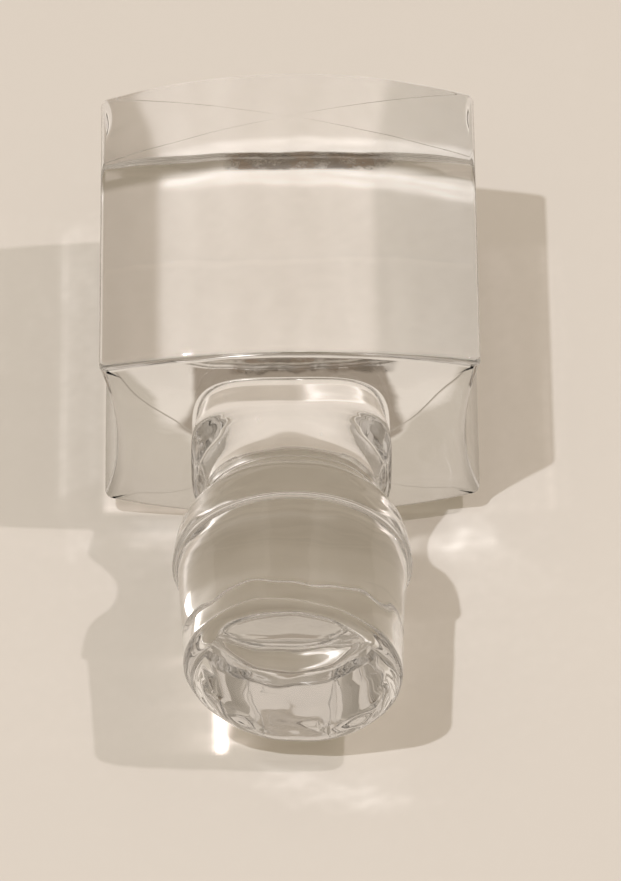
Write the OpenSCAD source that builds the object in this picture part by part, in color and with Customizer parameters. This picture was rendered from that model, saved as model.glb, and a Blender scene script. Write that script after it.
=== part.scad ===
// Clear pressed-glass stopper for a decanter or reagent bottle: a slab head with
// bowed broad faces and dished narrow sides, a squarish root that flares to a bead,
// a waist, a collar with a rounded back and a slightly tapered plug with a dished end.
// It lies on one broad face: +Z up, the plug's axis along Y, plug towards -Y.

/* [Head] */
// Width of the head, across the dished sides at their rims
head_w = 45.5; // [30:0.5:70]
// Length of the head along the axis, at its corners
head_l = 42.35; // [25:0.1:70]
// Thickness of the head at its two sides
head_side_t = 24.9; // [15:0.1:50]
// Thickness of the head at its middle
head_mid_t = 31.4; // [16:0.1:60]
// Depth of the hollow in each narrow side
side_dish = 2.0; // [0.2:0.1:5]
// Rounding of the four long edges
edge_r = 1.0; // [0.2:0.1:3]
// Radius of the far end's face, a curve across the width only
far_r = 190; // [80:5:600]
// Lean of the far end's face in degrees: its foot stands further out
far_lean = 1.3; // [0:0.1:6]
// Radius across the width of the face round the neck
near_r = 280; // [120:5:600]
// Radius up and down of the face round the neck
near_up_r = 110; // [60:5:600]

/* [Neck] */
// Half the width of the squarish root, carried on to the head
root_half = 10.55; // [5:0.05:16]
// How fast the root widens away from the head
root_flare = 0.364; // [0.1:0.002:0.6]
// Distance across the root's corners against its width
root_corner = 1.17; // [1.02:0.01:1.35]
// Radius of the bead at the end of the root
bead_r = 12.1; // [6:0.1:18]
// Section radius of the bead
bead_fillet_r = 3.2; // [0.5:0.1:5]
// Radius at the narrowest part of the waist
waist_r = 10.75; // [5:0.05:16]
// Distance of the waist from the head
waist_y = 10.4; // [5:0.1:25]
// Radius of the long hollow between bead and waist
hollow_r = 9.1; // [3:0.1:20]
// Radius of the cove between waist and collar
cove_r = 4.6; // [2:0.1:10]

/* [Collar and plug] */
// Radius of the collar
ring_r = 14.3; // [8:0.1:25]
// Radius of the collar's rounded back
shoulder_r = 7.0; // [2:0.1:9]
// Distance of the collar's front edge from the head
ring_front_y = 20.4; // [18:0.1:40]
// Rounding of the collar's front edge
ring_edge_r = 0.35; // [0.1:0.05:1]
// Radius of the plug at the collar
plug_r1 = 13.65; // [7:0.05:24]
// Radius of the plug where its end rounding begins
plug_r2 = 13.15; // [6:0.05:23]
// Length of the neck, collar and plug together
stem_l = 37.6; // [24:0.1:70]
// Rounding of the plug's rim
end_r = 2.0; // [0.5:0.1:6]
// Radius of the shallow hollow in the plug's end
end_dish_r = 45; // [25:1:300]

/* [Hidden] */
$fn = 96;
hw = head_w / 2;
hc = head_side_t / 2;
hm = head_mid_t / 2;
bow = hm - hc;
// radius of the bowed broad faces and the height of its centre
bow_r = (hw * hw + bow * bow) / (2 * bow);
bow_z = hm - bow_r;
// radius of the dished sides and the distance of its centre
dish_r = (hc * hc + side_dish * side_dish) / (2 * side_dish);
dish_x = hw - side_dish + dish_r;
// centre of the long-edge rounding: inside the bow, outside the dish
e_d = sqrt(dish_x * dish_x + bow_z * bow_z);
e_a = bow_r - edge_r;
e_b = dish_r + edge_r;
e_t = (e_a * e_a - e_b * e_b + e_d * e_d) / (2 * e_d);
e_h = sqrt(e_a * e_a - e_t * e_t);
e_ux = dish_x / e_d;
e_uz = -bow_z / e_d;
ex = e_t * e_ux - e_h * e_uz;
ez = bow_z + e_t * e_uz + e_h * e_ux;
// tangent points of the rounding
tb = [ex * bow_r / e_a, bow_z + (ez - bow_z) * bow_r / e_a];
ts = [dish_x + (ex - dish_x) * dish_r / e_b, ez * dish_r / e_b];
// points along the rounding, run a little past both tangent points
edge_a0 = atan2(ts[1] - ez, ts[0] - ex);
edge_a1 = atan2(tb[1] - ez, tb[0] - ex);
edge_n = 5;
edge_pts = concat([ts + [1.5, -0.4]],
    [for (i = [0:edge_n]) let (a = edge_a0 + (edge_a1 - edge_a0) * (0.06 + 0.88 * i / edge_n))
        [ex + edge_r * cos(a), ez + edge_r * sin(a)]],
    [tb + [-0.4, 1.5]]);
// depth of the two end faces at the head's corners
near_rise = near_r - sqrt(pow(near_r - near_up_r + sqrt(near_up_r * near_up_r - hc * hc), 2) - hw * hw);
far_rise = far_r - sqrt(far_r * far_r - hw * hw);
// shift that centres the whole length on the origin
y_shift = -(head_l + far_rise + tan(far_lean) * hm - stem_l) / 2;
// the bead touches the long hollow, the collar's back touches the cove
bead_y = waist_y - sqrt(pow(bead_fillet_r + hollow_r, 2)
    - pow(waist_r + hollow_r - bead_r + bead_fillet_r, 2));
shoulder_y = waist_y + sqrt(pow(cove_r + shoulder_r, 2)
    - pow(waist_r + cove_r - ring_r + shoulder_r, 2));
// where the flare runs into the bead
flare = atan(root_flare);
flare_y = bead_y - bead_fillet_r * sin(flare);
flare_r = bead_r - bead_fillet_r * (1 - cos(flare));
// plug taper and its end rounding
taper_len = stem_l - end_r - ring_front_y;
taper = atan((plug_r1 - plug_r2) / taper_len);
end_a = plug_r2 - end_r / cos(taper);
dish_c = stem_l - end_r + sqrt(pow(end_dish_r + end_r, 2) - end_a * end_a);
// points where the rim rounding turns into the hollow end
rim_x = end_a * end_dish_r / (end_dish_r + end_r);
rim_y = dish_c - (dish_c - stem_l + end_r) * end_dish_r / (end_dish_r + end_r);

// cross-section of the head: bowed top and bottom, dished sides, long edges eased
// by a row of short flats along the rounding
module head_section() {
    difference() {
        intersection() {
            translate([0, bow_z]) circle(r = bow_r, $fn = 720);
            translate([0, -bow_z]) circle(r = bow_r, $fn = 720);
            square([head_w, head_mid_t + 2], center = true);
        }
        for (s = [-1, 1]) translate([s * dish_x, 0]) circle(r = dish_r, $fn = 720);
        for (sx = [-1, 1]) for (sz = [-1, 1])
            polygon([for (p = concat(edge_pts, [[ex + 6, ez + 6]])) [sx * p[0], sz * p[1]]]);
    }
}

// solid whose barrel-shaped wall is the face round the neck; its own axis is upright
module near_blank() {
    translate([0, near_r - near_rise, 0]) rotate_extrude($fn = 720) intersection() {
        translate([near_r - near_up_r, 0]) circle(r = near_up_r, $fn = 720);
        translate([0, -hm - 2]) square([near_r + 1, head_mid_t + 4]);
    }
}

module head() {
    intersection() {
        translate([0, head_l + far_rise + 3, 0]) rotate([90, 0, 0])
            linear_extrude(height = head_l + far_rise + near_rise + 4) head_section();
        near_blank();
        translate([0, head_l + far_rise - far_r / cos(far_lean), 0]) rotate([far_lean, 0, 0])
            cylinder(r = far_r, h = head_mid_t + 14, center = true, $fn = 720);
    }
}

// the squarish root: a flared four-sided pyramid with its corners turned off
module neck() {
    q = sqrt(2);
    top = root_half + root_flare * bead_y;
    rotate([90, 0, 0]) intersection() {
        union() {
            translate([0, 0, -2.5]) rotate(45)
                cylinder(r1 = q * (root_half - 2.5 * root_flare), r2 = q * top, h = bead_y + 2.5, $fn = 4);
            translate([0, 0, bead_y]) rotate(45)
                cylinder(r1 = q * top, r2 = q * (waist_r - 1), h = 4, $fn = 4);
        }
        union() {
            translate([0, 0, -2.5])
                cylinder(r1 = root_corner * (root_half - 2.5 * root_flare), r2 = root_corner * top * 0.99,
                    h = bead_y + 2.5, $fn = 180);
            translate([0, 0, bead_y])
                cylinder(r1 = root_corner * top * 0.99, r2 = waist_r - 0.4, h = 4, $fn = 180);
        }
    }
}

// half profile of everything turned: x is the radius, y is the distance along the axis
module stem_profile() {
    difference() {
        union() {
            // core up into the head, and the flare
            polygon([[0, 2.5], [root_half - 2.5 * root_flare, 2.5], [flare_r, -flare_y],
                [bead_r - bead_fillet_r, -bead_y], [0, -bead_y]]);
            // bead and waist
            translate([bead_r - bead_fillet_r, -bead_y]) circle(r = bead_fillet_r);
            polygon([[0, -bead_y + 0.5], [bead_r - bead_fillet_r, -bead_y],
                [waist_r + hollow_r, -waist_y], [waist_r + cove_r, -waist_y],
                [ring_r - shoulder_r, -shoulder_y], [0, -shoulder_y - 0.5]]);
            // collar
            translate([ring_r - shoulder_r, -shoulder_y]) circle(r = shoulder_r);
            translate([0, -ring_front_y]) square([ring_r - ring_edge_r, ring_front_y - shoulder_y]);
            translate([0, -ring_front_y + ring_edge_r]) square([ring_r, ring_front_y - ring_edge_r - shoulder_y]);
            translate([ring_r - ring_edge_r, -ring_front_y + ring_edge_r]) circle(r = ring_edge_r);
            // plug
            polygon([[0, -ring_front_y + 1], [plug_r1, -ring_front_y + 1], [plug_r1, -ring_front_y],
                [end_a + end_r * cos(taper), -stem_l + end_r - end_r * sin(taper)],
                [end_a, -stem_l + end_r], [rim_x, -rim_y], [0, -rim_y]]);
            translate([end_a, -stem_l + end_r]) circle(r = end_r);
        }
        // the long hollow in front of the bead, and the cove behind the collar
        intersection() {
            translate([waist_r + hollow_r, -waist_y]) circle(r = hollow_r);
            translate([0, -waist_y]) square([30, waist_y]);
        }
        intersection() {
            translate([waist_r + cove_r, -waist_y]) circle(r = cove_r);
            translate([0, -2 * waist_y]) square([30, waist_y]);
        }
        // the plug's hollow end
        translate([0, -dish_c]) circle(r = end_dish_r, $fn = 720);
    }
}

module stem() {
    rotate([-90, 0, 0]) rotate_extrude($fn = 180) intersection() {
        stem_profile();
        translate([0, -stem_l - 1]) square([40, stem_l + 6]);
    }
}

module stopper() {
    color([0.88, 0.92, 0.92, 0.35])
    translate([0, y_shift, hm]) {
        head();
        neck();
        stem();
    }
}

stopper();
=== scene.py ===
import math

import bpy
import numpy as np
from mathutils import Matrix, Vector
from mathutils.bvhtree import BVHTree


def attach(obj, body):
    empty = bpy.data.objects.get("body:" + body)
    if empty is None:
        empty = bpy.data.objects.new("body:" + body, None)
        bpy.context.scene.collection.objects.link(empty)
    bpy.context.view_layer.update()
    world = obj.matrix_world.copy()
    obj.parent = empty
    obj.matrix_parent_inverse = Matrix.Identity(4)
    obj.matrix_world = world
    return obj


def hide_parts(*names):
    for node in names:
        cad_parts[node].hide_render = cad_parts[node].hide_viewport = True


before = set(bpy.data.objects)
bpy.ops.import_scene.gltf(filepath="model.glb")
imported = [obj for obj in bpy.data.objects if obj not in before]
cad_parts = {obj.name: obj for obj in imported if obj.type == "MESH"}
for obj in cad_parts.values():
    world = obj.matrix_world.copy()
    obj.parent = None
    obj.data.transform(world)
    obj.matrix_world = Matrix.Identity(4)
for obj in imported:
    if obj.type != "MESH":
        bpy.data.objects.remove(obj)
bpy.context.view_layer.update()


# ---------------------------------------------------------------- shape, in mm
MM = 0.001
W, HC, HM, DISH, RC = 22.75, 12.45, 15.7, 2.0, 1.0
HEAD_L, EDGE_N, EDGE_F, EDGE_B = 42.35, 1.3, 1.0, 2.0          # rounding: near end, far end, far end below
FAR_X, FAR_Z, NEAR_X, NEAR_Z = 190.0, 1e5, 280.0, 110.0     # radii of the two end faces, across and up
ROOT_R, ROOT_K, NECK_N, NECK_FILLET = 10.55, 0.364, 4.0, 0.5
STEM_L, LEAN = 37.0, math.tan(math.radians(1.3))      # the far face stands further out at its foot
Y_SHIFT = -(HEAD_L + FAR_X - math.sqrt(FAR_X**2 - W**2) + LEAN * HM - 37.6) / 2      # the same shift as the CAD model's
N = 384


def quarter(n1, n2, n3):
    """One quarter of the head's section from +x round to +z: points, outward normals."""
    bow = HM - HC
    rt = (W * W + bow * bow) / (2 * bow)
    zt = HM - rt
    rs = (HC * HC + DISH * DISH) / (2 * DISH)
    xs = W - DISH + rs
    d = math.hypot(xs, zt)
    a, b = rt - RC, rs + RC
    t = (a * a - b * b + d * d) / (2 * d)
    h = math.sqrt(a * a - t * t)
    ux, uz = xs / d, -zt / d
    ex, ez = t * ux - h * uz, zt + t * uz + h * ux
    vt = np.array([ex, ez - zt]) / a
    vs = np.array([xs - ex, -ez]) / b
    p, q = [], []
    a0, a1 = math.pi, math.atan2(ez + RC * vs[1], ex + RC * vs[0] - xs)
    if a1 < 0:
        a1 += 2 * math.pi
    for i in range(n1):
        g = a0 + (a1 - a0) * i / n1
        p.append((xs + rs * math.cos(g), rs * math.sin(g)))
        q.append((-math.cos(g), -math.sin(g)))
    b0, b1 = math.atan2(vs[1], vs[0]), math.atan2(vt[1], vt[0])
    for i in range(n2):
        g = b0 + (b1 - b0) * i / n2
        p.append((ex + RC * math.cos(g), ez + RC * math.sin(g)))
        q.append((math.cos(g), math.sin(g)))
    g0, g1 = math.atan2(vt[1], vt[0]), math.pi / 2
    for i in range(n3 + 1):
        g = g0 + (g1 - g0) * i / n3
        p.append((rt * math.cos(g), zt + rt * math.sin(g)))
        q.append((math.cos(g), math.sin(g)))
    return np.array(p), np.array(q)


def whole(q, odd=(1, 1)):
    """Mirrors a quarter's n+1 values round to a closed loop of 4n."""
    n = len(q) - 1
    a = q[:n]
    b = q[:0:-1] * np.array([-1, 1])
    c = -q[:n]
    d = q[:0:-1] * np.array([1, -1])
    return np.vstack([a, b, c, d])


n4 = N // 4
qp, qn = quarter(28, 14, n4 - 42)
OUT, OUTN = whole(qp), whole(qn)
alpha = np.arctan2(qp[:, 1], qp[:, 0])
th4 = 0.35 * alpha + 0.65 * np.linspace(0, math.pi / 2, n4 + 1)
cs4 = np.stack([np.cos(th4), np.sin(th4)], 1)
CS = whole(cs4)
TH = np.arctan2(CS[:, 1], CS[:, 0])

rings_p, rings_n = [], []


def add(p, n):
    rings_p.append(np.array(p, float))
    n = np.array(n, float)
    rings_n.append(n / np.linalg.norm(n, axis=1)[:, None])


def slerp(a, b, t):
    w = np.arccos(np.clip((a * b).sum(1), -1, 1))[:, None]
    return (np.sin((1 - t) * w) * a + np.sin(t * w) * b) / np.sin(w)


def reach(x, z, rx, rz, off=0.0):
    """Distance of a barrel-shaped end face from its upright axis, along y, at (x, z)."""
    rho = rx - rz + np.sqrt((rz + off) ** 2 - z**2)
    return np.sqrt(rho**2 - x**2)


def barrel_normal(p, cy, rx, rz):
    y = p[:, 1] - cy
    rho = np.hypot(p[:, 0], y)
    v = rho - (rx - rz)
    m = np.stack([p[:, 0] / rho * v, y / rho * v, p[:, 2]], 1)
    return m / np.linalg.norm(m, axis=1)[:, None]


near_rise = NEAR_X - float(reach(W, HC, NEAR_X, NEAR_Z))
far_rise = FAR_X - float(reach(W, HC, FAR_X, FAR_Z))
c_far = HEAD_L + far_rise - FAR_X       # y of the far face's axis
c_near = NEAR_X - near_rise             # y of the near face's axis
P3 = np.stack([OUT[:, 0], np.zeros(N), OUT[:, 1]], 1)
N3 = np.stack([OUTN[:, 0], np.zeros(N), OUTN[:, 1]], 1)


def rolled(cy, rx, rz, sign, e):
    """Ball centres of the rounding between the sides and an end face, and the face's normal there."""
    c = P3 - e[:, None] * N3
    c[:, 1] = cy + sign * reach(c[:, 0], c[:, 2], rx, rz, -e)
    return c, barrel_normal(c, cy, rx, rz)


def dome(xz, cy, rx, rz, sign):
    y = cy + sign * reach(xz[:, 0], xz[:, 1], rx, rz)
    p = np.stack([xz[:, 0], y, xz[:, 1]], 1)
    return p, barrel_normal(p, cy, rx, rz)


# far dome, from its pole outwards
below = np.where(OUT[:, 1] < 0, np.clip((W - 2.2 - np.abs(OUT[:, 0])) / 7.0, 0, 1), 0)
e_far = EDGE_F + (EDGE_B - EDGE_F) * below**2 * (3 - 2 * below)
cf, mf = rolled(c_far, FAR_X, FAR_Z, 1, e_far)
edge_far = cf + e_far[:, None] * mf
far_pole = np.array([0, c_far + FAR_X, 0.0])
for t in np.linspace(0.04, 1, 22):
    add(*dome(edge_far[:, [0, 2]] * t, c_far, FAR_X, FAR_Z, 1))
for t in np.linspace(0, 1, 11)[1:]:
    m = slerp(mf, N3, t)
    p = cf + e_far[:, None] * m
    along = np.roll(p, -1, 0) - np.roll(p, 1, 0)
    along /= np.linalg.norm(along, axis=1)[:, None]
    add(p, m - (m * along).sum(1)[:, None] * along)
# sides
cn, mn = rolled(c_near, NEAR_X, NEAR_Z, -1, np.full(N, EDGE_N))
for t in np.linspace(0, 1, 6)[1:]:
    p = (1 - t) * (cf + e_far[:, None] * N3) + t * (cn + EDGE_N * N3)
    add(p, N3)
for t in np.linspace(0, 1, 9)[1:]:
    m = slerp(N3, mn, t)
    add(cn + EDGE_N * m, m)


def squircle(th, n):
    c, s = np.abs(np.cos(th)), np.abs(np.sin(th))
    return (c**n + s**n) ** (-1.0 / n)


# control points of the stem: (distance from the head, radius, squareness 0..1)
CTRL = np.array([
    (1.0, 10.91, 1.0),
    (2.0, 11.28, 1.0),
    (3.0, 11.62, 0.9),
    (4.0, 11.95, 0.8),
    (4.7, 12.11, 0.7),
    (5.3, 12.10, 0.6),
    (6.0, 11.85, 0.45),
    (6.9, 11.40, 0.3),
    (7.9, 11.05, 0.15),
    (9.2, 10.84, 0.0),
    (10.4, 10.75, 0.0),
    (11.6, 10.85, 0.0),
    (12.6, 11.25, 0.0),
    (13.4, 11.9, 0.0),
    (14.1, 12.6, 0.0),
    (14.9, 13.15, 0.0),
    (15.9, 13.6, 0.0),
    (17.0, 13.9, 0.0),
    (18.2, 14.12, 0.0),
])


def catmull(ctrl, per):
    """Points and derivatives of a centripetal Catmull-Rom curve."""
    c = np.vstack([2 * ctrl[0] - ctrl[1], ctrl, 2 * ctrl[-1] - ctrl[-2]])
    k = [0.0]
    for i in range(1, len(c)):
        k.append(k[-1] + math.sqrt(np.linalg.norm(c[i, :2] - c[i - 1, :2])))
    out, der = [], []
    for i in range(1, len(c) - 2):
        t0, t1, t2, t3 = k[i - 1 : i + 3]
        p0, p1, p2, p3 = c[i - 1 : i + 3]
        m1 = (t2 - t1) * ((p1 - p0) / (t1 - t0) - (p2 - p0) / (t2 - t0) + (p2 - p1) / (t2 - t1))
        m2 = (t2 - t1) * ((p2 - p1) / (t2 - t1) - (p3 - p1) / (t3 - t1) + (p3 - p2) / (t3 - t2))
        for j in range(per):
            u = j / per
            out.append((2 * u**3 - 3 * u**2 + 1) * p1 + (u**3 - 2 * u**2 + u) * m1
                       + (-2 * u**3 + 3 * u**2) * p2 + (u**3 - u**2) * m2)
            der.append(((6 * u**2 - 6 * u) * p1 + (3 * u**2 - 4 * u + 1) * m1
                        + (-6 * u**2 + 6 * u) * p2 + (3 * u**2 - 2 * u) * m2) / (t2 - t1))
    out.append(c[-2])
    der.append(m2 / (t2 - t1))
    return np.array(out), np.array(der)


def stem_ring(d, r, sq, dd, dr, dsq):
    """One ring of the stem: distance d from the head, radius r, squareness sq, and their derivatives."""
    n = 2 + (NECK_N - 2) * sq
    e = 1e-5
    rho = r * squircle(TH, n)
    p = np.stack([rho * CS[:, 0], np.full(N, -d), rho * CS[:, 1]], 1)
    n_e = 2 + (NECK_N - 2) * (sq + dsq * e)
    rho_e = (r + dr * e) * squircle(TH, n_e)
    ps = (np.stack([rho_e * CS[:, 0], np.full(N, -(d + dd * e)), rho_e * CS[:, 1]], 1) - p) / e
    rp, rm = r * squircle(TH + e, n), r * squircle(TH - e, n)
    pt = np.stack([rp * np.cos(TH + e) - rm * np.cos(TH - e), np.zeros(N),
                   rp * np.sin(TH + e) - rm * np.sin(TH - e)], 1) / (2 * e)
    nn = np.cross(ps, pt)
    nn *= np.sign((nn * p)[:, [0]] + (nn * p)[:, [2]] + 1e-12) if abs(dd) > 1e-9 else 1
    return p, nn


def root(d):
    """The stem where it leaves the head: a squarish cone that widens away from the head."""
    rho = (ROOT_R + ROOT_K * d) * squircle(TH, NECK_N)
    p = np.stack([rho * CS[:, 0], -d, rho * CS[:, 1]], 1)
    g = (np.abs(p[:, 0]) ** NECK_N + np.abs(p[:, 2]) ** NECK_N) ** (1 / NECK_N)
    n = np.stack([np.sign(p[:, 0]) * (np.abs(p[:, 0]) / g) ** (NECK_N - 1), np.full(N, ROOT_K),
                  np.sign(p[:, 2]) * (np.abs(p[:, 2]) / g) ** (NECK_N - 1)], 1)
    n /= np.linalg.norm(n, axis=1)[:, None]
    c = p + NECK_FILLET * n
    return c, n, c[:, 1] - c_near + reach(c[:, 0], c[:, 2], NEAR_X, NEAR_Z, NECK_FILLET)


# near face in to the stem, then the small hollow fillet
da, db = np.full(N, 1.0), np.full(N, 1.6)
ha, hb = root(da)[2], root(db)[2]
for _ in range(6):
    dc = db - hb * (db - da) / np.where(np.abs(hb - ha) < 1e-12, 1e-12, hb - ha)
    da, ha, db = db, hb, dc
    hb = root(db)[2]
cfil, root_n, _ = root(db)
mfil = barrel_normal(cfil, c_near, NEAR_X, NEAR_Z)
in_near = cfil - NECK_FILLET * mfil
edge_near = cn + EDGE_N * mn
for t in np.linspace(0, 1, 22)[1:]:
    add(*dome((1 - t) * edge_near[:, [0, 2]] + t * in_near[:, [0, 2]], c_near, NEAR_X, NEAR_Z, -1))
for t in np.linspace(0, 1, 8)[1:]:
    m = slerp(mfil, root_n, t)
    add(cfil - NECK_FILLET * m, m)

fil_end = float(db.max())
pts, ders = catmull(CTRL, 4)
for p, dp in zip(pts, ders):
    if p[0] < fil_end + 0.1:
        continue
    add(*stem_ring(*p, *dp))


def arc(cd, cr, rad, a0, a1, k, skip=0):
    """Arc of the profile in (distance, radius): angle 0 points outwards, 90 towards the plug's end."""
    for a in np.linspace(math.radians(a0), math.radians(a1), k)[skip:]:
        d, r = cd + rad * math.sin(a), cr + rad * math.cos(a)
        p = np.stack([r * CS[:, 0], np.full(N, -d), r * CS[:, 1]], 1)
        n = np.stack([math.cos(a) * CS[:, 0], np.full(N, -math.sin(a)), math.cos(a) * CS[:, 1]], 1)
        add(p, n)


def arc_in(cd, cr, rad, a0, a1, k, skip=0):
    """The same for a hollow arc: the surface lies on the side away from the normal."""
    for a in np.linspace(math.radians(a0), math.radians(a1), k)[skip:]:
        d, r = cd - rad * math.sin(a), cr - rad * math.cos(a)
        p = np.stack([r * CS[:, 0], np.full(N, -d), r * CS[:, 1]], 1)
        n = np.stack([math.cos(a) * CS[:, 0], np.full(N, -math.sin(a)), math.cos(a) * CS[:, 1]], 1)
        add(p, n)


RING_R, RING_FRONT, RING_E = 14.3, 20.4, 0.35
PLUG1, PLUG2, END_R, STEP_F = 13.65, 13.15, 2.0, 0.3
TILT_X, TILT_Z = -0.08, 0.04
END_DISH = 45.0
WAVE_A, WAVE_B = 0.10, 0.035
taper = math.atan((PLUG1 - PLUG2) / (STEM_L - END_R - RING_FRONT))
tdeg = math.degrees(taper)
arc(RING_FRONT - RING_E, RING_R - RING_E, RING_E, 0, 90, 8)
arc_in(RING_FRONT + STEP_F, PLUG1 + STEP_F, STEP_F, 90, tdeg, 6)
end_a = PLUG2 - END_R / math.cos(taper)
a_c = STEM_L - END_R
dish_c = a_c + math.sqrt((END_DISH + END_R) ** 2 - end_a**2)
for t in np.linspace(0, 1, 8)[1:-1]:
    d = (1 - t) * (RING_FRONT + STEP_F) + t * (a_c + END_R * math.sin(taper))
    r = PLUG1 + (PLUG2 - PLUG1) * (d - RING_FRONT) / (a_c - RING_FRONT)
    p = np.stack([r * CS[:, 0], np.full(N, -d), r * CS[:, 1]], 1)
    n = np.stack([math.cos(taper) * CS[:, 0], np.full(N, -math.sin(taper)), math.cos(taper) * CS[:, 1]], 1)
    add(p, n)
cap = math.asin(end_a / (END_DISH + END_R))
arc(a_c, end_a, END_R, tdeg, 90 + math.degrees(cap), 22)
for t in np.linspace(1, 0.05, 16)[1:]:
    g = cap * t
    r, d = END_DISH * math.sin(g), dish_c - END_DISH * math.cos(g)
    p = np.stack([r * CS[:, 0], np.full(N, -d), r * CS[:, 1]], 1)
    add(p, np.stack([-math.sin(g) * CS[:, 0], np.full(N, -math.cos(g)), -math.sin(g) * CS[:, 1]], 1))
end_pole = np.array([0, END_DISH - dish_c, 0.0])

# the far face leans
for p, n in zip(rings_p, rings_n):
    w = np.clip(p[:, 1] / HEAD_L, 0, 1)
    k = 1 - np.where((w > 0) & (w < 1), LEAN * p[:, 2] / HEAD_L, 0)
    n[:] = np.stack([n[:, 0], n[:, 1] / k, n[:, 2] + LEAN * w * n[:, 1] / k], 1)
    n /= np.linalg.norm(n, axis=1)[:, None]
    p[:, 1] -= LEAN * p[:, 2] * w

# the plug's end is cut a little askew
for p, n in zip(rings_p, rings_n):
    w = np.clip((-p[:, 1] - 27.0) / 6.0, 0, 1)
    dw = np.where((w > 0) & (w < 1), -(6 * w - 6 * w * w) / 6.0, 0.0)
    w = 3 * w**2 - 2 * w**3
    g = TILT_X * p[:, 0] + TILT_Z * p[:, 2]
    k = 1 + dw * g
    n[:] = np.stack([n[:, 0] - w * TILT_X * n[:, 1] / k, n[:, 1] / k, n[:, 2] - w * TILT_Z * n[:, 1] / k], 1)
    n /= np.linalg.norm(n, axis=1)[:, None]
    p[:, 1] += w * g
lean = np.array([-TILT_X, -1.0, -TILT_Z])

# hand-finished glass: the surface waves by a few hundredths of a millimetre
wave_rng = np.random.default_rng(11)
WAVES = []
for count, lo, hi, amp in ((9, 9.0, 16.0, WAVE_A), (14, 4.0, 7.0, WAVE_B)):
    for _ in range(count):
        k = wave_rng.normal(size=3)
        k *= 2 * math.pi / wave_rng.uniform(lo, hi) / np.linalg.norm(k)
        WAVES.append((k, wave_rng.uniform(0, 2 * math.pi), amp / math.sqrt(count)))
for p, n in zip(rings_p, rings_n):
    y = p[:, 1]
    much = np.clip((-y - 1.0) / 3.0, 0, 1) * (0.45 + 0.55 * np.clip((-y - 24) / 8.0, 0, 1)) + 0.16
    d = np.zeros(len(p))
    g = np.zeros((len(p), 3))
    for k, ph, a in WAVES:
        t = p @ k + ph
        d += a * (np.sin(t) - 1.0)
        g += (a * np.cos(t))[:, None] * k
    g -= (g * n).sum(1)[:, None] * n
    p += n * (d * much)[:, None]
    n -= g * much[:, None]
    n /= np.linalg.norm(n, axis=1)[:, None]
verts = np.vstack(rings_p + [far_pole[None], end_pole[None]])
norms = np.vstack(rings_n + [np.array([[0, 1.0, 0]]), (lean / np.linalg.norm(lean))[None]])
M = len(rings_p)
verts = (verts + np.array([0, Y_SHIFT, HM])) * MM
faces = []
for j in range(M - 1):
    a, b = j * N, (j + 1) * N
    for i in range(N):
        k = (i + 1) % N
        faces.append((a + i, a + k, b + k, b + i))
fp, ep = M * N, M * N + 1
for i in range(N):
    k = (i + 1) % N
    faces.append((fp, k, i))
    faces.append((ep, (M - 1) * N + i, (M - 1) * N + k))
print("stopper rings", M, "verts", len(verts), "faces", len(faces), "tris", 2 * (M - 1) * N + 2 * N)

me = bpy.data.meshes.new("stopper_glass")
me.from_pydata([tuple(v) for v in verts], [], faces)
me.validate()
me.polygons.foreach_set("use_smooth", [True] * len(me.polygons))
# turn the winding so that faces look outwards
v0 = me.polygons[0].normal
me.update()
test = me.polygons[20 * N].normal.dot(Vector(norms[20 * N]))
print("winding", test)
if test < 0:
    me.flip_normals()
me.normals_split_custom_set_from_vertices([tuple(n) for n in norms])
stopper = bpy.data.objects.new("stopper_glass", me)
bpy.context.scene.collection.objects.link(stopper)

PHOTONS = 900000
# ---------------------------------------------------------------- light through the glass on to the table
LAMP_R, LAMP_D = 0.016, 1.6
LAMPS = [
    ("lamp_a", (-0.315, -0.25, 1.0), 11.6, (0.89, 0.90, 1.0)),
    ("lamp_b", (0.565, 0.03, 1.0), 6.3, (1.0, 0.93, 1.0)),
]
IOR, ABSORB = 1.51, 2.15        # absorption of the glass, per metre
tris = []
for j in range(M - 1):
    a = j * N + np.arange(N)
    k = j * N + (np.arange(N) + 1) % N
    tris.append(np.stack([a, k, k + N], 1))
    tris.append(np.stack([a, k + N, a + N], 1))
a = np.arange(N)
k = (a + 1) % N
tris.append(np.stack([np.full(N, M * N), k, a], 1))
tris.append(np.stack([np.full(N, M * N + 1), (M - 1) * N + a, (M - 1) * N + k], 1))
tris = np.vstack(tris)
bvh = BVHTree.FromPolygons(verts.tolist(), tris.tolist(), all_triangles=True, epsilon=0.0)
unit = norms / np.linalg.norm(norms, axis=1)[:, None]
CELL, X0, X1, Y0, Y1 = 0.0003, -0.084, 0.084, -0.084, 0.084
GX, GY = int(round((X1 - X0) / CELL)), int(round((Y1 - Y0) / CELL))
BOX_LO, BOX_HI = verts.min(0), verts.max(0)


def cast(o, d):
    """First hit of each ray: face index (-1 for none) and distance."""
    idx = np.full(len(o), -1, int)
    dist = np.zeros(len(o))
    rc = bvh.ray_cast
    for i, (p, q) in enumerate(zip(o.tolist(), d.tolist())):
        h = rc(p, q)
        if h[2] is not None:
            idx[i], dist[i] = h[2], h[3]
    return idx, dist


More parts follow.
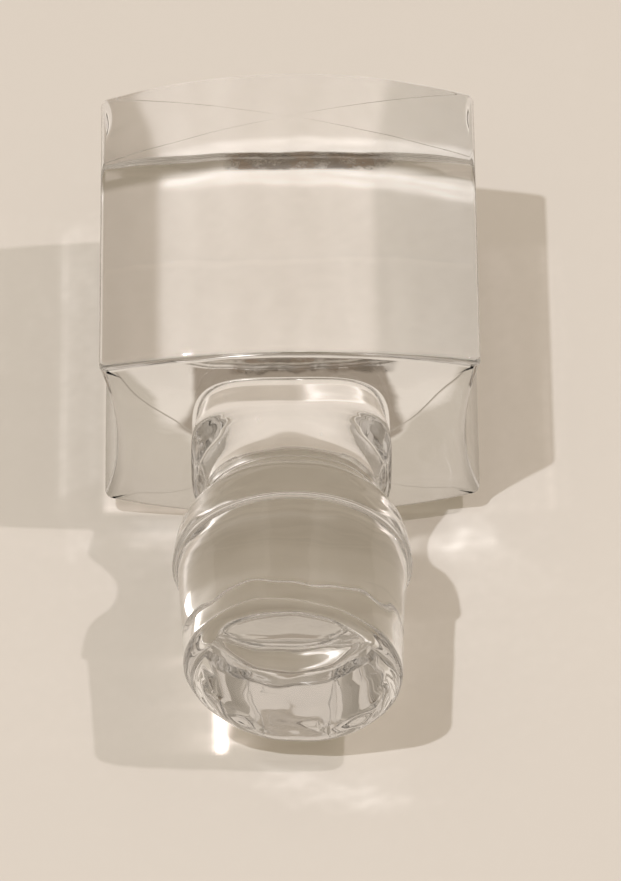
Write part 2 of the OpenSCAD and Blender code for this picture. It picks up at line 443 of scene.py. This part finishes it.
def trace(lamp_pos, lamp_dir, power, count, rng):
    """Light from one lamp that meets the glass, spread over the table as irradiance in W/m2."""
    grid = np.zeros((GX, GY))
    zt = 0.016
    t = np.array([lamp_dir[0], lamp_dir[1]]) / lamp_dir[2]
    lo = np.minimum(BOX_LO[:2], BOX_LO[:2] - t * 0) - np.abs(t) * 0.017 - 0.001
    hi = BOX_HI[:2] + np.abs(t) * 0.017 + 0.001
    nx = int(math.sqrt(count * (hi[0] - lo[0]) / (hi[1] - lo[1])))
    ny = int(count / nx)
    gx, gy = np.meshgrid(np.arange(nx), np.arange(ny), indexing="ij")
    gx = (gx.ravel() + rng.random(nx * ny)) / nx
    gy = (gy.ravel() + rng.random(nx * ny)) / ny
    area = (hi[0] - lo[0]) * (hi[1] - lo[1]) / (nx * ny)
    target = np.stack([lo[0] + gx * (hi[0] - lo[0]), lo[1] + gy * (hi[1] - lo[1]), np.full(nx * ny, zt)], 1)
    # points on the lamp's disc
    ld = np.array(lamp_dir) / np.linalg.norm(lamp_dir)
    u = np.cross(ld, [0, 1, 0])
    u /= np.linalg.norm(u)
    v = np.cross(ld, u)
    rr, aa = LAMP_R * np.sqrt(rng.random(len(target))), 2 * math.pi * rng.random(len(target))
    o = lamp_pos + (rr * np.cos(aa))[:, None] * u + (rr * np.sin(aa))[:, None] * v
    d = target - o
    r = np.linalg.norm(d, axis=1)
    d /= r[:, None]
    w = power / math.pi * np.abs(d @ ld) * np.abs(d[:, 2]) / r**2 * area
    # start close to the object
    o = target - d * 0.06
    inside = np.zeros(len(o), bool)
    first = True
    for bounce in range(10):
        idx, dist = cast(o, d)
        miss = idx < 0
        if not first:
            down = miss & (d[:, 2] < -1e-6)
            s = np.maximum(-o[down, 2] / d[down, 2], 0)
            p = o[down] + d[down] * s[:, None]
            ix = ((p[:, 0] - X0) / CELL).astype(int)
            iy = ((p[:, 1] - Y0) / CELL).astype(int)
            ok = (ix >= 0) & (ix < GX) & (iy >= 0) & (iy < GY)
            np.add.at(grid, (ix[ok], iy[ok]), w[down][ok])
        w = np.where(inside, w * np.exp(-ABSORB * dist), w)
        hit = ~miss
        o, d, w, inside, idx, dist = o[hit], d[hit], w[hit], inside[hit], idx[hit], dist[hit]
        if len(o) == 0:
            break
        p = o + d * dist[:, None]
        ta = tris[idx]
        A, B, Cc = verts[ta[:, 0]], verts[ta[:, 1]], verts[ta[:, 2]]
        v0, v1, v2 = B - A, Cc - A, p - A
        d00, d01, d11 = (v0 * v0).sum(1), (v0 * v1).sum(1), (v1 * v1).sum(1)
        d20, d21 = (v2 * v0).sum(1), (v2 * v1).sum(1)
        den = d00 * d11 - d01 * d01
        den[den == 0] = 1e-30
        bv = np.clip((d11 * d20 - d01 * d21) / den, 0, 1)
        bw = np.clip((d00 * d21 - d01 * d20) / den, 0, 1)
        n = unit[ta[:, 0]] * (1 - bv - bw)[:, None] + unit[ta[:, 1]] * bv[:, None] + unit[ta[:, 2]] * bw[:, None]
        n /= np.linalg.norm(n, axis=1)[:, None]
        n[inside] *= -1
        cosi = -(d * n).sum(1)
        bad = cosi <= 1e-4
        cosi = np.clip(cosi, 1e-4, 1)
        eta = np.where(inside, IOR, 1 / IOR)          # n1 / n2
        sin2 = eta**2 * (1 - cosi**2)
        tir = sin2 >= 1
        cost = np.sqrt(np.clip(1 - sin2, 0, 1))
        n1, n2 = np.where(inside, IOR, 1.0), np.where(inside, 1.0, IOR)
        rs = (n1 * cosi - n2 * cost) / (n1 * cosi + n2 * cost)
        rp = (n1 * cost - n2 * cosi) / (n1 * cost + n2 * cosi)
        F = np.where(tir, 1.0, 0.5 * (rs**2 + rp**2))
        refl = rng.random(len(F)) < F
        dr = d + 2 * cosi[:, None] * n
        dt = eta[:, None] * d + (eta * cosi - cost)[:, None] * n
        d = np.where(refl[:, None], dr, dt)
        inside = np.where(refl, inside, ~inside)
        d /= np.linalg.norm(d, axis=1)[:, None]
        o = p + d * 2e-6
        keep = ~bad
        o, d, w, inside = o[keep], d[keep], w[keep], inside[keep]
        first = False
    return grid / CELL**2


def blur(g, sigma):
    r = int(3 * sigma + 1)
    kx = np.exp(-0.5 * (np.arange(-r, r + 1) / sigma) ** 2)
    kx /= kx.sum()
    g = np.apply_along_axis(lambda m: np.convolve(m, kx, mode="same"), 0, g)
    return np.apply_along_axis(lambda m: np.convolve(m, kx, mode="same"), 1, g)


rng = np.random.default_rng(7)
caustic = np.zeros((GX, GY, 3))
for name, direction, power, color in LAMPS:
    ld = np.array(direction) / np.linalg.norm(direction)
    light = blur(trace(np.array([0, 0, 0.015]) + ld * LAMP_D, ld, power, PHOTONS, rng), 1.0)
    caustic += light[..., None] * np.array(color)


# ---------------------------------------------------------------- materials
CONTACT_SHADE = (-0.6, 2.6, 0.38, 0.10, 2.2, 8.5)      # painted contact shade along the far face's foot: from and to in mm above the table, how much, faint shade above it, middle x, half-width
# the two dark browns of the painted contact shade and of the dirt specks
SHADE_AND_SPECK_A, SHADE_AND_SPECK_B = (0.23, 0.195, 0.16), (0.29, 0.21, 0.14)
glass = bpy.data.materials.new("clear_glass")
glass.use_nodes = True
nt = glass.node_tree
nt.nodes.clear()
out = nt.nodes.new("ShaderNodeOutputMaterial")
bsdf = nt.nodes.new("ShaderNodeBsdfPrincipled")
bsdf.inputs["Base Color"].default_value = (1, 1, 1, 1)
bsdf.inputs["IOR"].default_value = 1.51
bsdf.inputs["Transmission Weight"].default_value = 1.0
vol = nt.nodes.new("ShaderNodeVolumeAbsorption")
vol.inputs["Color"].default_value = (0.5, 0.5, 0.5, 1)
vol.inputs["Density"].default_value = 2 * ABSORB
nt.links.new(vol.outputs[0], out.inputs["Volume"])


def calc(tree, op, a, b=None):
    """One step of arithmetic in a node tree."""
    m = tree.nodes.new("ShaderNodeMath")
    m.operation = op
    for k, v in enumerate((a, b)):
        if isinstance(v, (int, float)):
            m.inputs[k].default_value = v
        elif v is not None:
            tree.links.new(v, m.inputs[k])
    return m.outputs[0]


def soft(tree, v, lo, hi, to=1.0):
    """0 up to lo, `to` from hi on, smooth between."""
    m = tree.nodes.new("ShaderNodeMapRange")
    m.interpolation_type = "SMOOTHSTEP"
    tree.links.new(v, m.inputs["Value"])
    m.inputs["From Min"].default_value, m.inputs["From Max"].default_value = lo, hi
    m.inputs["To Max"].default_value = to
    return m.outputs[0]


def noise(tree, vec, scale, detail=2.0, rough=0.5):
    m = tree.nodes.new("ShaderNodeTexNoise")
    m.inputs["Scale"].default_value = scale
    m.inputs["Detail"].default_value = detail
    m.inputs["Roughness"].default_value = rough
    tree.links.new(vec, m.inputs["Vector"])
    return m.outputs[0]


gtc = nt.nodes.new("ShaderNodeTexCoord")
gco = gtc.outputs["Object"]
gsp = nt.nodes.new("ShaderNodeSeparateXYZ")
nt.links.new(gco, gsp.inputs[0])
gx_, gy_, gz_ = gsp.outputs
# handling: faint smears on the outside, never all over
smear = soft(nt, noise(nt, gco, 90.0, 3.0, 0.6), 0.60, 0.78, 0.05)
nt.links.new(smear, bsdf.inputs["Roughness"])
# the skin of pressed glass is not quite flat
skin = nt.nodes.new("ShaderNodeBump")
skin.inputs["Strength"].default_value = 1.0
skin.inputs["Distance"].default_value = 1.0
nt.links.new(calc(nt, "MULTIPLY", noise(nt, gco, 260.0, 2.0), 0.0000035), skin.inputs["Height"])
nt.links.new(skin.outputs[0], bsdf.inputs["Normal"])
# painted contact shade: a dull brown band along the lower far edge of the head where it rests on the table, and a few
# dark specks of dirt
edge_y = (HEAD_L + far_rise + Y_SHIFT) * MM
bow = calc(nt, "MULTIPLY", gx_, gx_)                              # x squared, in square metres
back = calc(nt, "ADD", gy_, calc(nt, "MULTIPLY", bow, 0.5 / (FAR_X * MM)))       # follows the far face's curve
back = calc(nt, "SUBTRACT", back, (LEAN * HM * 0.85) * MM)
lift = calc(nt, "SUBTRACT", gz_, calc(nt, "MULTIPLY", bow, 13.0))                # rises towards the sides
ragged = calc(nt, "MULTIPLY", calc(nt, "SUBTRACT", noise(nt, gco, 500.0, 3.0, 0.6), 0.5), 0.0018)
lift = calc(nt, "ADD", lift, ragged)
face = soft(nt, back, edge_y - 1.6 * MM, edge_y - 1.2 * MM)
low = calc(nt, "MULTIPLY", soft(nt, lift, CONTACT_SHADE[1] * MM, (CONTACT_SHADE[1] - 0.7) * MM), soft(nt, lift, CONTACT_SHADE[0] * MM, (CONTACT_SHADE[0] + 0.5) * MM))
# noise that breaks up the painted shade band
shade_grain = soft(nt, noise(nt, gco, 700.0, 4.0, 0.7), 0.36, 0.56, 0.35)
low = calc(nt, "MULTIPLY", low, calc(nt, "ADD", shade_grain, CONTACT_SHADE[2]))
off = calc(nt, "ABSOLUTE", calc(nt, "SUBTRACT", gx_, CONTACT_SHADE[4] * MM))
mid = soft(nt, calc(nt, "ADD", off, ragged), (CONTACT_SHADE[5] + 1.2) * MM, (CONTACT_SHADE[5] - 1.2) * MM)
# painted shade that fades out higher up the far face
haze = calc(nt, "MULTIPLY", soft(nt, lift, (CONTACT_SHADE[1] + 4.0) * MM, (CONTACT_SHADE[1] - 1.0) * MM), CONTACT_SHADE[3])
haze = calc(nt, "MULTIPLY", haze, soft(nt, lift, CONTACT_SHADE[0] * MM, (CONTACT_SHADE[0] + 0.5) * MM))
low = calc(nt, "MULTIPLY", low, mid)
# the whole painted contact shade on the far face
painted_shade = calc(nt, "MULTIPLY", face, calc(nt, "MAXIMUM", low, haze))
vor = nt.nodes.new("ShaderNodeTexVoronoi")
vor.inputs["Scale"].default_value = 150.0
nt.links.new(gco, vor.inputs["Vector"])
vsp = nt.nodes.new("ShaderNodeSeparateColor")
nt.links.new(vor.outputs["Color"], vsp.inputs[0])
speck = calc(nt, "MULTIPLY", soft(nt, vor.outputs["Distance"], 0.085, 0.05), calc(nt, "GREATER_THAN", vsp.outputs[0], 0.93))
# painted contact shade and dirt specks together
shade_and_specks = calc(nt, "MAXIMUM", painted_shade, calc(nt, "MULTIPLY", speck, 0.55))
# dark brown shader for the painted shade and the specks
dull = nt.nodes.new("ShaderNodeBsdfPrincipled")
tone = nt.nodes.new("ShaderNodeMix")
tone.data_type = "RGBA"
tone.inputs[6].default_value = (*SHADE_AND_SPECK_A, 1)
tone.inputs[7].default_value = (*SHADE_AND_SPECK_B, 1)
nt.links.new(soft(nt, noise(nt, gco, 350.0, 2.0), 0.45, 0.62), tone.inputs[0])
nt.links.new(tone.outputs[2], dull.inputs["Base Color"])
dull.inputs["Roughness"].default_value = 0.75
both = nt.nodes.new("ShaderNodeMixShader")
nt.links.new(shade_and_specks, both.inputs[0])
nt.links.new(bsdf.outputs[0], both.inputs[1])
nt.links.new(dull.outputs[0], both.inputs[2])
nt.links.new(both.outputs[0], out.inputs[0])
me.materials.append(glass)
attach(stopper, "root")
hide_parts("stopper")

TABLE = (0.60, 0.565, 0.493)


def table_mesh():
    """A table top: a fine patch round the object that carries the caustic light, and wide plain borders."""
    fine = np.arange(-0.0504, 0.0504 + 0.0002, 0.00045)
    coarse = np.arange(0.0516, 0.084 + 0.0002, 0.0012)
    xs = np.concatenate([[-3.0, -0.6, -0.2], -coarse[::-1], fine, coarse, [0.2, 0.6, 3.0]])
    ys = xs.copy()
    gx, gy = np.meshgrid(xs, ys, indexing="ij")
    v = np.stack([gx.ravel(), gy.ravel(), np.zeros(gx.size)], 1)
    ny = len(ys)
    i, j = np.meshgrid(np.arange(len(xs) - 1), np.arange(ny - 1), indexing="ij")
    a = (i * ny + j).ravel()
    f = np.stack([a, a + ny, a + ny + 1, a + 1], 1)
    m = bpy.data.meshes.new("table_top")
    m.from_pydata(v.tolist(), [], f.tolist())
    fx = np.clip((v[:, 0] - X0) / CELL - 0.5, 0, GX - 1.001)
    fy = np.clip((v[:, 1] - Y0) / CELL - 0.5, 0, GY - 1.001)
    ix, iy = fx.astype(int), fy.astype(int)
    tx, ty = fx - ix, fy - iy
    tx, ty = tx[:, None], ty[:, None]
    c = (caustic[ix, iy] * (1 - tx) * (1 - ty) + caustic[ix + 1, iy] * tx * (1 - ty)
         + caustic[ix, iy + 1] * (1 - tx) * ty + caustic[ix + 1, iy + 1] * tx * ty)
    c *= np.array(TABLE) / math.pi
    out_ = (v[:, 0] < X0 - 1e-6) | (v[:, 0] > X1 + 1e-6) | (v[:, 1] < Y0 - 1e-6) | (v[:, 1] > Y1 + 1e-6)
    c[out_] = 0
    at = m.attributes.new("caustic", "FLOAT_VECTOR", "POINT")
    at.data.foreach_set("vector", c.astype(np.float32).ravel())
    return m


floor = bpy.data.objects.new("floor", table_mesh())
bpy.context.scene.collection.objects.link(floor)
fm = bpy.data.materials.new("table")
fm.use_nodes = True
ft = fm.node_tree
fb = ft.nodes["Principled BSDF"]
fb.inputs["Base Color"].default_value = (*TABLE, 1)
fb.inputs["Roughness"].default_value = 0.6
fb.inputs["Specular IOR Level"].default_value = 0.2
an = ft.nodes.new("ShaderNodeAttribute")
an.attribute_name = "caustic"
em = ft.nodes.new("ShaderNodeEmission")
ft.links.new(an.outputs["Vector"], em.inputs["Color"])
ad = ft.nodes.new("ShaderNodeAddShader")
ft.links.new(fb.outputs[0], ad.inputs[0])
ft.links.new(em.outputs[0], ad.inputs[1])
ft.links.new(ad.outputs[0], ft.nodes["Material Output"].inputs["Surface"])
fm.cycles.emission_sampling = "NONE"
floor.data.materials.append(fm)

# ---------------------------------------------------------------- light
PATCH = (0.48, 0.725, 0.90)        # half-width in azimuth; foot and top, as the sine of elevation
scene = bpy.context.scene
world = bpy.data.worlds.new("room")
scene.world = world
world.use_nodes = True
wn = world.node_tree
bg = wn.nodes["Background"]
tc = wn.nodes.new("ShaderNodeTexCoord")
sx = wn.nodes.new("ShaderNodeSeparateXYZ")
wn.links.new(tc.outputs["Generated"], sx.inputs[0])
ramp = wn.nodes.new("ShaderNodeValToRGB")
wn.links.new(sx.outputs["Z"], ramp.inputs[0])


# a dull dark piece of the room behind the table, seen through the head from the front
side = calc(wn, "ARCTAN2", sx.outputs["X"], sx.outputs["Y"])
side = calc(wn, "ABSOLUTE", calc(wn, "ADD", side, 0.012))
patch = calc(wn, "MULTIPLY", soft(wn, side, PATCH[0], PATCH[0] - 0.035),
             soft(wn, sx.outputs["Z"], PATCH[2], PATCH[2] - 0.02))
patch = calc(wn, "MULTIPLY", patch, soft(wn, sx.outputs["Z"], PATCH[1], PATCH[1] + 0.012))
dark = wn.nodes.new("ShaderNodeMix")
dark.data_type = "RGBA"
wn.links.new(patch, dark.inputs[0])
wn.links.new(ramp.outputs[0], dark.inputs[6])
dark.inputs[7].default_value = (0.37, 0.30, 0.23, 1)
wn.links.new(dark.outputs[2], bg.inputs[0])
stops = [
    (0.0, (0.33, 0.28, 0.22)),
    (0.50, (0.40, 0.34, 0.27)),
    (0.62, (0.58, 0.50, 0.41)),
    (0.72, (0.62, 0.54, 0.44)),
    (0.735, (0.88, 0.78, 0.67)),
    (0.90, (0.88, 0.78, 0.67)),
    (1.0, (0.80, 0.71, 0.61)),
]
er = ramp.color_ramp
while len(er.elements) > 1:
    er.elements.remove(er.elements[-1])
er.elements[0].position = stops[0][0]
er.elements[0].color = (*stops[0][1], 1)
for pos, col in stops[1:]:
    el = er.elements.new(pos)
    el.color = (*col, 1)
bg.inputs[1].default_value = 1.0


for name, direction, power, color in LAMPS:
    d = Vector(direction).normalized()
    ld = bpy.data.lights.new(name, "AREA")
    ld.shape = "DISK"
    ld.size = LAMP_R * 2
    ld.energy = power
    ld.color = color
    o = bpy.data.objects.new(name, ld)
    o.location = Vector((0, 0, 0.015)) + d * LAMP_D
    o.rotation_euler = d.to_track_quat("Z", "Y").to_euler()
    scene.collection.objects.link(o)

# ---------------------------------------------------------------- camera
e, roll, yaw = math.radians(51.1), math.radians(1.2), math.radians(-0.5)
Z, PX = 1000.0, 8.44
fwd = Vector((math.sin(yaw) * math.cos(e), math.cos(yaw) * math.cos(e), -math.sin(e)))
right = Vector((math.cos(yaw), -math.sin(yaw), 0))
up = right.cross(fwd)
r2 = right * math.cos(roll) - up * math.sin(roll)
u2 = right * math.sin(roll) + up * math.cos(roll)
tgt = Vector((0, Y_SHIFT, HM))
C = tgt - fwd * Z
f = PX * Z
cx, cy = 291.24, 432.35
nf = (fwd + r2 * ((310.5 - cx) / f) - u2 * ((440.5 - cy) / f)).normalized()
r3 = (r2 - nf * r2.dot(nf)).normalized()
u3 = r3.cross(nf)
cam = bpy.data.cameras.new("camera")
cam.sensor_width = 36.0
cam.lens = f / 881.0 * 36.0
cam.clip_start, cam.clip_end = 0.05, 20
co = bpy.data.objects.new("camera", cam)
co.matrix_world = Matrix((
    (r3.x, u3.x, -nf.x, C.x * MM),
    (r3.y, u3.y, -nf.y, C.y * MM),
    (r3.z, u3.z, -nf.z, C.z * MM),
    (0, 0, 0, 1)))
scene.collection.objects.link(co)
scene.camera = co

cy_ = scene.cycles
cy_.use_denoising = True
cy_.max_bounces = 16
cy_.transmission_bounces = 16
cy_.glossy_bounces = 16
cy_.diffuse_bounces = 4
cy_.caustics_refractive = True
cy_.caustics_reflective = True
cy_.blur_glossy = 0.0
cy_.sample_clamp_indirect = 20.0
scene.view_settings.view_transform = "Standard"
scene.view_settings.exposure = 0.0
